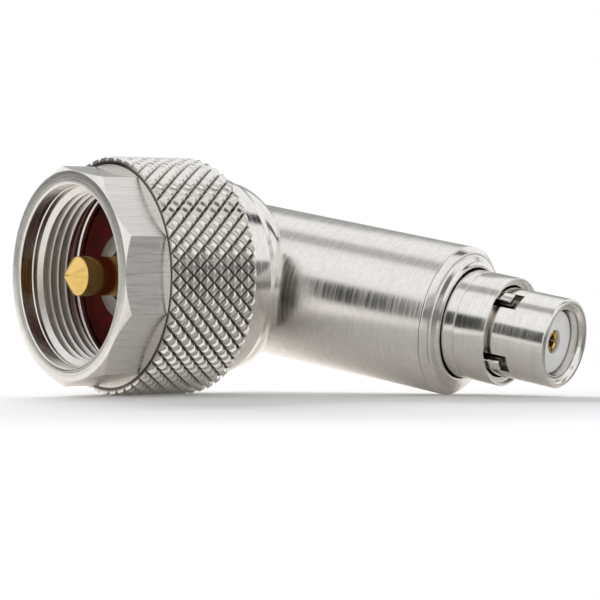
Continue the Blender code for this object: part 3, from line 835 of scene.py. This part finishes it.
plug_side = [
    (0, at_depth(NOSE_FRONT)),
    (NOSE_R, at_depth(NOSE_FRONT)),
    *groove(12.6 * MM, 15.3 * MM, 17.5 * MM),
    *groove(13.2 * MM, 19.0 * MM, 21.0 * MM),
    (NOSE_R, at_depth(COLLAR_START)),
    (COLLAR_R, at_depth(COLLAR_START)),
    (COLLAR_R, at_depth(COLLAR_END)),
    *dome_points(),
]
plug_side.append((0, plug_side[-1][1]))
body = turned("elbow_body_dressed", plug_side[::-1], PLUG, COLLAR_METAL, 0.12 * MM, 240)
barrel_outline = [
    (0, STUB_END),
    (0, BARREL_END),
    (BARREL_R, BARREL_END),
    (BARREL_R, STUB_END + STUB_CHAMFER),
    (BARREL_R - STUB_CHAMFER, STUB_END),
]
barrel = turned("barrel_shape", barrel_outline, SOCKET, BARREL_METAL, 0.15 * MM, 240)
combine(body, barrel, "UNION")
plug_bore = [
    (0, 0),
    (0, at_depth(GASKET_FRONT)),
    (GASKET_BORE_R, at_depth(GASKET_FRONT)),
    (GASKET_BORE_R, at_depth(22.3 * MM)),
    (PLUG_BORE_R, at_depth(22.3 * MM)),
    (PLUG_BORE_R, 0),
]
combine(body, turned("plug_bore", plug_bore, PLUG, CONTACT_GREY, 0, 96), "DIFFERENCE")
barrel_bore = [
    (0, STUB_END - MM),
    (0, BARREL_END + MM),
    (COUNTERBORE_R, BARREL_END + MM),
    (COUNTERBORE_R, COUNTERBORE_FLOOR),
    (BARREL_BORE_R, COUNTERBORE_FLOOR),
    (BARREL_BORE_R, CAP_SEAT),
    (CAP_SEAT_R, CAP_SEAT),
    (CAP_SEAT_R, STUB_END - MM),
]
combine(body, turned("barrel_bore", barrel_bore, SOCKET, CONTACT_GREY, 0, 96), "DIFFERENCE")
settle(body, "adapter_body", "satin_nickel", "elbow_body")

cap_outline = [(CAP_R, CAP_OUTER), (CAP_R, CAP_INNER), (0, CAP_INNER), (0, CAP_OUTER)]
cap = turned("elbow_cap_dressed", cap_outline, SOCKET, CAP_METAL, 0.3 * MM, 128)
settle(cap, "adapter_body", "satin_nickel", "elbow_access_cap")

# %% [markdown]
# ## The barrel's end ring
# A polished ring is screwed into the barrel, with a hairline seam behind it. It starts with a
# chamfer from the barrel's full width, then a small step and a sloping face that ends in a
# lip close round the sliding collar.

# %% Turn the end ring
RING_BORE_R = 9.05 * MM
SPIGOT_R = 10.8 * MM
SPIGOT_END = 38.2 * MM
SEAM_END = 40.28 * MM
STEP_AT = 41.35 * MM
LIP_AT = 42.4 * MM

ring_outline = [
    (RING_BORE_R, SPIGOT_END),
    (RING_BORE_R, LIP_AT),
    (9.45 * MM, LIP_AT),
    (9.8 * MM, 41.95 * MM),
    (10.75 * MM, 41.6 * MM),
    (10.85 * MM, STEP_AT),
    (11.25 * MM, STEP_AT),
    (BARREL_R, 40.5 * MM),
    (BARREL_R, SEAM_END),
    (SPIGOT_R, SEAM_END),
    (SPIGOT_R, SPIGOT_END),
]
end_ring = turned("end_ring_dressed", ring_outline, SOCKET, SOCKET_METAL, 0.16 * MM, 192)
settle(end_ring, "adapter_body", "nickel", "barrel_end_ring")

# %% [markdown]
# ## The socket's shell and release collar
# The shell is the socket's outer contact. Four windows are cut through its wall, and the
# sliding collar's keys reach into them: they catch the mating plug, and drawing the collar
# back lets it go. A key fills half of its window's width, which leaves dark gaps beside it.

# %% Turn the shell and cut its windows
SHELL_R = 7.15 * MM
SHELL_BORE_R = 5.3 * MM
SHELL_REAR = 34.9 * MM
FLANGE_R = 10.8 * MM
FLANGE_REAR = 36.4 * MM
FLANGE_FRONT = 37.9 * MM
SOCKET_END = 60.0 * MM
RIM_CHAMFER = 0.3 * MM
MOUTH_STEP = 0.9 * MM
KEY_TURNS = [radians(40 + 90 * k) for k in range(4)]
KEY_STATION = 50.5 * MM
WINDOW_SIZE = (2.45 * MM, 3.3 * MM, 5.6 * MM)
WINDOW_AT = (7.525 * MM, 0, KEY_STATION)

shell_outline = [
    (SHELL_BORE_R, SHELL_REAR),
    (SHELL_BORE_R, SOCKET_END - MOUTH_STEP),
    (5.85 * MM, SOCKET_END - MOUTH_STEP),
    (6.1 * MM, SOCKET_END - RIM_CHAMFER),
    (6.4 * MM, SOCKET_END),
    (6.85 * MM, SOCKET_END),
    (SHELL_R, SOCKET_END - RIM_CHAMFER),
    (SHELL_R, FLANGE_FRONT),
    (FLANGE_R, FLANGE_FRONT),
    (FLANGE_R, FLANGE_REAR),
    (SHELL_R, FLANGE_REAR),
    (SHELL_R, SHELL_REAR),
]
shell = turned("socket_shell_dressed", shell_outline, SOCKET, SOCKET_METAL, 0.12 * MM, 192)
for turn in KEY_TURNS:
    window = block("window", WINDOW_SIZE, WINDOW_AT, SOCKET, turn, CONTACT_GREY)
    combine(shell, window, "DIFFERENCE")
settle(shell, "adapter_body", "nickel", "socket_shell")

# %% Turn the release collar and add its keys
SLIDER_R = 8.75 * MM
SLIDER_BORE_R = 7.45 * MM
SLIDER_REAR = 41.0 * MM
RECESS_FLOOR = 49.3 * MM
LIP_FRONT = 50.1 * MM
LIP_BORE_R = 8.35 * MM
LINE_FLOOR_R = 8.6 * MM
KEY_SIZE = (1.25 * MM, 1.6 * MM, 3.4 * MM)
KEY_AT = (7.225 * MM, 0, KEY_STATION)

collar_outline = [
    (SLIDER_BORE_R, SLIDER_REAR),
    (SLIDER_BORE_R, RECESS_FLOOR),
    (LIP_BORE_R, RECESS_FLOOR),
    (LIP_BORE_R, LIP_FRONT),
    (SLIDER_R, LIP_FRONT),
    (SLIDER_R, 44.6 * MM),
    (LINE_FLOOR_R, 44.55 * MM),
    (LINE_FLOOR_R, 44.45 * MM),
    (SLIDER_R, 44.4 * MM),
    (SLIDER_R, SLIDER_REAR),
]
collar = turned("release_collar_dressed", collar_outline, SOCKET, SOCKET_METAL, 0.12 * MM, 192)


def bevelled_key(turn):
    """A key with small chamfers, as it is milled from the collar."""
    key = block("key", KEY_SIZE, KEY_AT, SOCKET, turn, SOCKET_METAL)
    bevel = key.modifiers.new("edges", "BEVEL")
    bevel.width = 0.15 * MM
    bevel.segments = 2
    return plain(key)


for turn in KEY_TURNS:
    combine(collar, bevelled_key(turn), "UNION")
settle(collar, "release_collar_body", "nickel", "release_collar")

# %% [markdown]
# ## The socket's insulator and contact
# The centre contact is a gold tube, bored for the mating pin and slotted so that its fingers
# grip it. It sits in a milky insulator a little below the shell's rim.

# %% Turn the insulator and the slotted contact
insulator_outline = tube(1.9 * MM, 5.0 * MM, 46.1 * MM, 58.0 * MM)
insulator = turned("socket_insulator_dressed", insulator_outline, SOCKET, WHITE_PLASTIC,
                   0.15 * MM, 128)
settle(insulator, "adapter_body", "insulator", "socket_insulator")

FINGER_R = 1.6 * MM
FINGER_BORE_R = 0.95 * MM
FINGER_BORE_END = 51.6 * MM
FINGER_REAR = 42.0 * MM
FINGER_END = 57.7 * MM
SLOT_SIZE = (4.8 * MM, 0.35 * MM, 3.5 * MM)
SLOT_AT = (0, 0, FINGER_END - 1.65 * MM)

finger_outline = [
    (0, FINGER_REAR),
    (0, FINGER_BORE_END),
    (FINGER_BORE_R, FINGER_BORE_END),
    (FINGER_BORE_R, FINGER_END - 0.25 * MM),
    (1.15 * MM, FINGER_END),
    (FINGER_R, FINGER_END),
    (FINGER_R, FINGER_REAR),
]
fingers = turned("socket_contact_dressed", finger_outline, SOCKET, SOCKET_GOLD, 0.08 * MM, 96)
for quarter in range(2):
    slot = block("slot", SLOT_SIZE, SLOT_AT, SOCKET, quarter * pi / 2, SOCKET_GOLD)
    combine(fingers, slot, "DIFFERENCE")
settle(fingers, "adapter_body", "gold", "socket_centre_contact")

# %% [markdown]
# ## Pieces that stay as they were packed
# The snap ring, seals, beads, conductors, screw and spring are hidden inside. Their packed
# solids are fine enough, so they only get finishes of their own.

# %% Finish the hidden pieces
HIDDEN = {
    SPRING_METAL: ["nut_snap_ring", "collar_return_spring"],
    BLACK_RUBBER: ["nut_seal_ring", "shell_seal_washer"],
    SOCKET_GOLD: ["elbow_conductor_block", "conductor_screw", "barrel_inner_conductor"],
    WHITE_PLASTIC: ["barrel_support_bead", "socket_rear_bead"],
}
for finish, names in HIDDEN.items():
    for name in names:
        for material_slot in frame["nodes"][name].material_slots:
            material_slot.material = finish
print("hidden pieces:", sum(len(names) for names in HIDDEN.values()))

# %% [markdown]
# ## Camera, floor and light
# The photograph was taken with a long lens, level with the adapter. Here the camera stands
# half a metre away. Its place, aim and lens were fitted to edges of the photograph.

# %% Camera
CAMERA_AT = Vector((-291.58, -405.36, -1.51)) * MM
AIM = Vector((6.67, -4.05, -4.14)) * MM
ROLL = radians(-0.3)

camera = bpy.data.objects.new("camera", bpy.data.cameras.new("camera"))
bpy.context.scene.collection.objects.link(camera)
camera.data.lens = 178.4
camera.data.sensor_width = 36
camera.data.clip_start = 0.01
camera.location = ELBOW + CAMERA_AT
facing = (AIM - CAMERA_AT).to_track_quat("-Z", "Y")
camera.rotation_euler = (facing.to_matrix() @ Matrix.Rotation(ROLL, 3, "Z")).to_euler()
bpy.context.scene.camera = camera
bpy.context.scene.view_settings.view_transform = "Standard"
print("camera distance %.0f mm" % (CAMERA_AT.length / MM))

# %% [markdown]
# The floor takes the shadow near the adapter and glows plain white farther off. Metal sees
# another floor, a painted reflection: warm grey, bright under the adapter, darker in front of the
# barrel and a little lighter again at the right. That paints the barrel's darker underside.

# %% Floor
WHITE = (1, 1, 1, 1)
FLOOR_WHITE = (0.93, 0.93, 0.93, 1)
SHADOW_REACH = (0.06, 0.13)
# Spans and levels of the painted reflection that metal sees in the floor.
FRONT_FALL = (0.05, 0.09, 0.95, 0.25)
RIGHT_RISE = (0.06, 0.10, 0.0, 0.35)
WARM_GREEN = 0.97
WARM_BLUE = 0.94
NEAR_GLOW = 0.15
MIRRORED_GLOW = 0.08

bm = bmesh.new()
bmesh.ops.create_grid(bm, x_segments=1, y_segments=1, size=3)
made, nodes, shader = shade("studio_floor")
x, y, z = nodes.split(nodes.add("ShaderNodeTexCoord", output="Object"))
away = nodes.ramp(nodes.length(x, y), *SHADOW_REACH)
# Painted reflection: a grey floor that only reflections see, darker in front of the barrel, which
# paints its darker underside.
painted_reflection_tone = nodes.ramp(x - y, *FRONT_FALL) + nodes.ramp(x, *RIGHT_RISE)
grey = nodes.join(painted_reflection_tone, painted_reflection_tone * WARM_GREEN, painted_reflection_tone * WARM_BLUE)
path = nodes.add("ShaderNodeLightPath", output="Is Camera Ray")
glossy = path.other("Is Glossy Ray")
nodes.link(nodes.mix(glossy, FLOOR_WHITE, grey), shader.inputs["Base Color"])
shader.inputs["Roughness"].default_value = 0.9
shader.inputs["Specular IOR Level"].default_value = 0.0
glow = nodes.add("ShaderNodeEmission", {}, {
    "Color": nodes.mix(glossy, WHITE, grey), "Strength": 1.0})
share = path * nodes.ramp(away, 0.0, 1.0, NEAR_GLOW, 1.0) + glossy * MIRRORED_GLOW
blend = nodes.add("ShaderNodeMixShader", {}, {0: share})
nodes.link(Wire(nodes, shader.outputs[0]), blend.socket.node.inputs[1])
nodes.link(glow, blend.socket.node.inputs[2])
nodes.link(blend, made.node_tree.nodes["Material Output"].inputs["Surface"])
floor = finished("studio_floor", bm, made)
print("floor at z = 0")

# %% [markdown]
# Bare metal shows little but its surroundings. The studio is white, with soft panels in seven
# directions that metal sees as dark bands. Each is described by the x, y and z of its
# direction, or by its tilt, the angle up over the front in degrees. The camera sees none of
# them, and a surface that isn't a mirror is lit by an even grey.

# %% Studio surroundings
DARKEST = 0.95
EVEN_GREY = (0.55, 0.55, 0.55, 1)

world = bpy.data.worlds.new("studio")
bpy.context.scene.world = world
world.use_nodes = True
sky = Nodes(world.node_tree)
x, y, z = sky.split(sky.add("ShaderNodeTexCoord", output="Generated"))


def above(value, start, end):
    """Zero below start, one above end."""
    return sky.ramp(value, start, end)


def below(value, start, end):
    """One below start, zero above end."""
    return sky.ramp(value, start, end, 1.0, 0.0)


def panel(value, start, end, soft):
    """One between start and end, with soft edges outside them."""
    return above(value, start - soft, start) * below(value, end, end + soft)


tilt = sky.math("ARCTAN2", z, y * -1.0) * (180 / pi)
right = above(x, 0.40, 0.50)
low = below(z, 0.2, 0.3)
PANELS = {
    "front": panel(tilt, -18, 14, 5) * right * 0.82,
    "top": panel(tilt, 65, 75, 4) * right * 0.95,
    "back": above(y, 0.50, 0.62) * above(x, 0.35, 0.45) * 0.62,
    "left": panel(z, -0.04, 0.38, 0.08) * panel(y, -0.06, 0.44, 0.08) * below(x, -0.80, -0.70),
    "streak": panel(x, -0.26, -0.08, 0.08) * above(z, 0.75, 0.85) * 0.55,
    "face": panel(x, -0.75, -0.45, 0.08) * above(y, 0.45, 0.55) * low * 0.8,
    "camera": panel(x, -0.5, 0.3, 0.1) * below(y, -0.9, -0.8) * low * 0.5,
}
white = 1.0 - sky.math("MINIMUM", sum(PANELS.values()), DARKEST)
path = sky.add("ShaderNodeLightPath", output="Is Camera Ray")
seen = sky.mix(path.other("Is Glossy Ray"), EVEN_GREY, sky.join(white, white, white))
background = world.node_tree.nodes["Background"]
sky.link(sky.mix(path, seen, WHITE), background.inputs["Color"])
print("panels:", ", ".join(PANELS))

# %% Key light
LAMP_AT = Vector((0.25, 0.75, 0.42))

lamp = bpy.data.objects.new("soft_box", bpy.data.lights.new("soft_box", "AREA"))
bpy.context.scene.collection.objects.link(lamp)
lamp.data.size = 0.5
lamp.data.energy = 9.5
lamp.location = LAMP_AT
lamp.rotation_euler = (-LAMP_AT).to_track_quat("-Z", "Y").to_euler()
lamp.visible_glossy = False
print("soft box behind and above the adapter")
